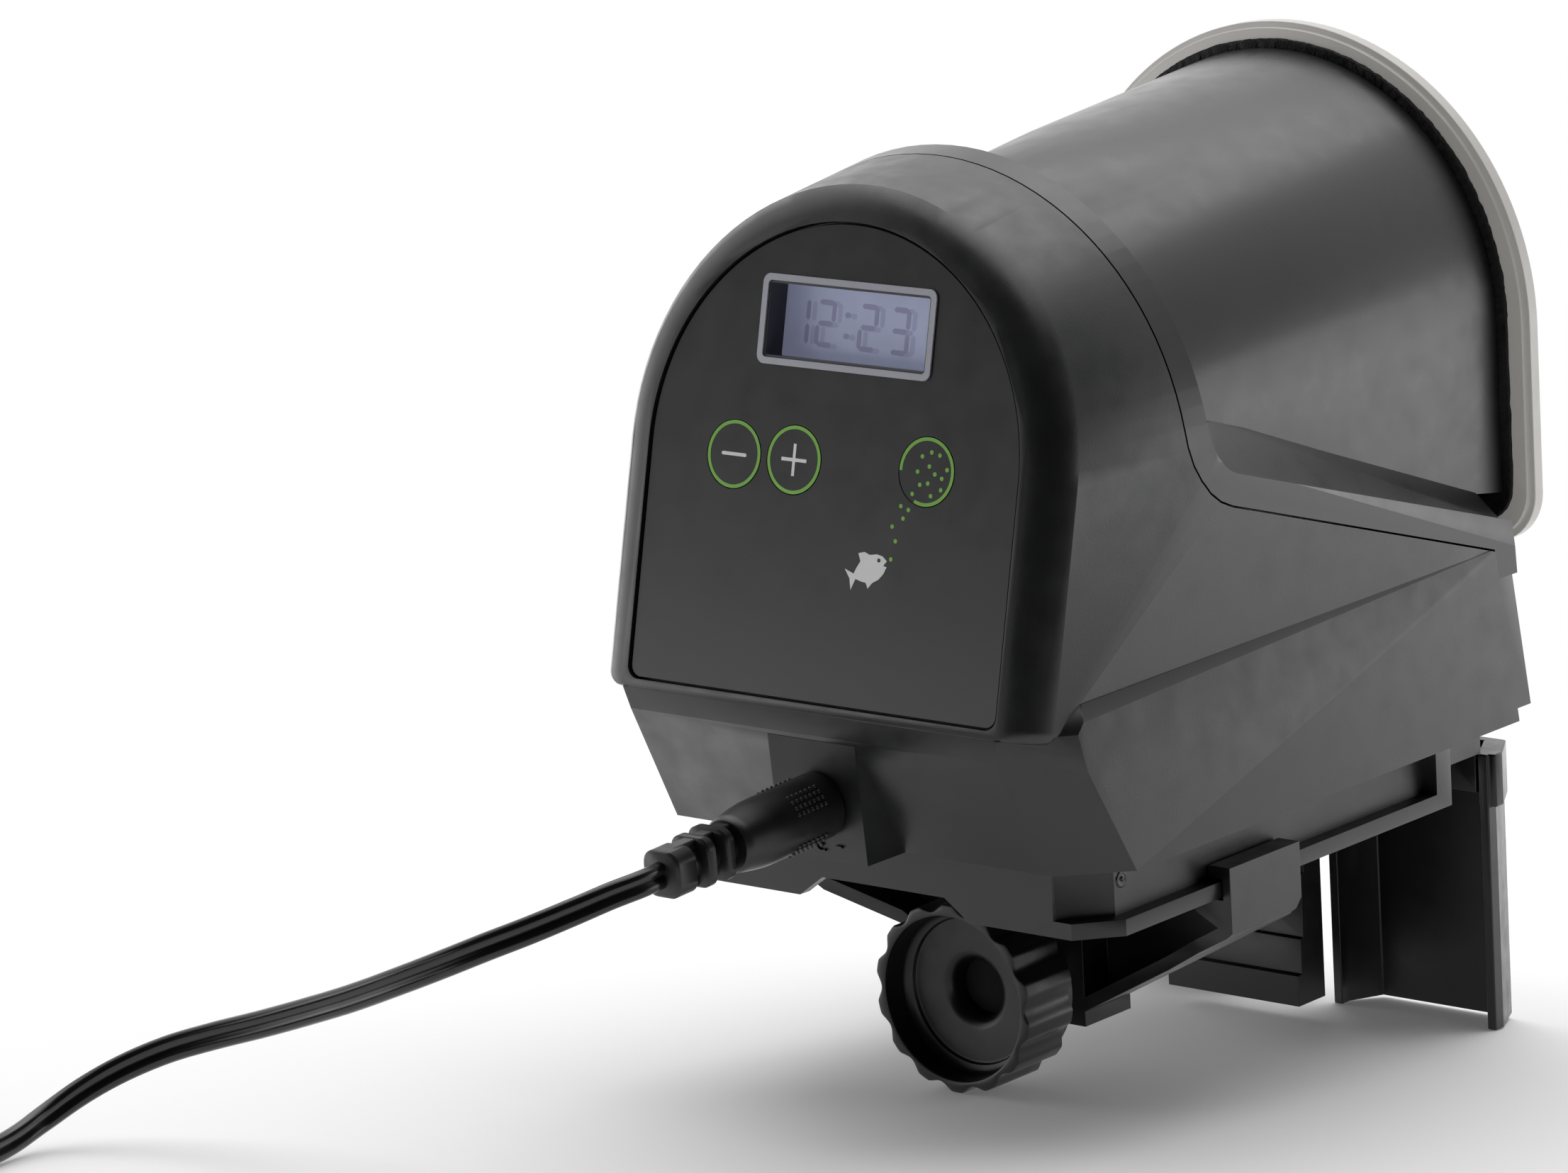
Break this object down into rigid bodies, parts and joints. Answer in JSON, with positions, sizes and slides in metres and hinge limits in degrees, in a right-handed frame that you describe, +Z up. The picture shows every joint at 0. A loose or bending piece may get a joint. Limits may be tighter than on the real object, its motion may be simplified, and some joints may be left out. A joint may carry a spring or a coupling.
{
  "type": "automatic fish feeder",
  "caption": "Table-top fish feeder: food hopper with a dosing screw, a panel with a small display and keys, and a screw clamp for the rim of a tank.",
  "frame": {"origin": "on the table, in the middle of the object's footprint, with the free lead left out", "axes": "+X to the right of someone who faces the panel, +Y to the rear, where the lid is, +Z up; the body stands pitched 4.8 degrees nose down on its clamp knob and the rear jaw's legs"},
  "size_m": [0.173, 0.307, 0.1515],
  "materials": {
    "housing": "fine spark-eroded texture, charcoal",
    "panel": "semi-gloss printed foil, dark grey",
    "bezel": "smooth light grey",
    "window": "clear display glass",
    "display": "reflective liquid-crystal grey",
    "board": "green solder mask",
    "black_plastic": "black moulding",
    "hopper": "satin black",
    "lid": "satin warm grey",
    "gasket": "closed-cell foam",
    "steel": "zinc-plated",
    "clamp": "satin black with moulding marks",
    "inner_plastic": "natural acetal",
    "brass": "machined",
    "lead": "glossy black insulation",
    "pins": "nickel-plated"
  },
  "bodies": {
    "housing": {"front_housing": "housing", "panel_plate": "panel", "display_frame": "bezel", "display_window": "window", "display_module": "display", "circuit_board": "board", "key_switches": "black_plastic", "power_socket": "black_plastic", "hopper_shell": "hopper", "hopper_collar": "hopper", "base_plate": "housing", "housing_screws": "steel", "rear_jaw": "clamp", "dosing_tube": "inner_plastic", "shaft_bushes": "brass", "gear_motor": "steel", "idler_axle": "steel", "motor_bracket": "black_plastic", "power_plug": "black_plastic", "plug_sleeve": "black_plastic", "lead_run": "lead", "lead_coil": "lead", "lead_tail": "lead", "lead_tie": "black_plastic", "wall_adapter": "black_plastic", "adapter_pins": "pins"},
    "key_minus": {"key_minus": "panel"},
    "key_plus": {"key_plus": "panel"},
    "key_feed": {"key_feed": "panel"},
    "lid": {"hopper_lid": "lid", "lid_gasket": "gasket"},
    "dosing": {"dosing_screw": "inner_plastic", "dosing_gear": "inner_plastic"},
    "idler": {"idler_gear": "inner_plastic"},
    "pinion": {"motor_pinion": "inner_plastic"},
    "slide": {"clamp_slide": "clamp", "clamp_nut": "brass"},
    "plate": {"pressure_plate": "clamp"},
    "knob": {"clamp_knob": "clamp", "clamp_screw": "steel"}
  },
  "joints": [
    {"name": "press_minus", "type": "slide", "parent": "housing", "child": "key_minus", "axis": [0, 0.989, -0.1478], "range_m": [0, 0.0004], "stiffness_N_per_m": 800},
    {"name": "press_plus", "type": "slide", "parent": "housing", "child": "key_plus", "axis": [0, 0.989, -0.1478], "range_m": [0, 0.0004], "stiffness_N_per_m": 800},
    {"name": "press_feed", "type": "slide", "parent": "housing", "child": "key_feed", "axis": [0, 0.989, -0.1478], "range_m": [0, 0.0004], "stiffness_N_per_m": 800},
    {"name": "lid_pull", "type": "slide", "parent": "housing", "child": "lid", "axis": [0, 0.9965, 0.0837], "range_m": [0, 0.025]},
    {"name": "dosing_turn", "type": "hinge", "parent": "housing", "child": "dosing", "pos_m": [0, -0.04818, 0.05621], "axis": [0, 0.9965, 0.0837], "continuous": true},
    {"name": "idler_turn", "type": "hinge", "parent": "housing", "child": "idler", "pos_m": [0.00964, -0.04914, 0.06766], "axis": [0, 0.9965, 0.0837], "continuous": true},
    {"name": "pinion_turn", "type": "hinge", "parent": "housing", "child": "pinion", "pos_m": [0, -0.04996, 0.0775], "axis": [0, 0.9965, 0.0837], "continuous": true},
    {"name": "clamp_travel", "type": "slide", "parent": "housing", "child": "slide", "axis": [0, 0.9965, 0.0837], "range_m": [-0.02, 0.002]},
    {"name": "plate_travel", "type": "slide", "parent": "slide", "child": "plate", "axis": [0, 0.9965, 0.0837], "range_m": [-0.0301, 0.0061]},
    {"name": "knob_turn", "type": "hinge", "parent": "plate", "child": "knob", "pos_m": [0, -0.02462, 0.01474], "axis": [0, 0.9965, 0.0837], "range_deg": [-5400, 1080]}
  ],
  "couplings": [
    {"joint": "idler_turn", "follows": "dosing_turn", "ratio": -4},
    {"joint": "pinion_turn", "follows": "dosing_turn", "ratio": 14.4},
    {"joint": "plate_travel", "follows": "knob_turn", "m_per_rad": 0.00031831}
  ]
}
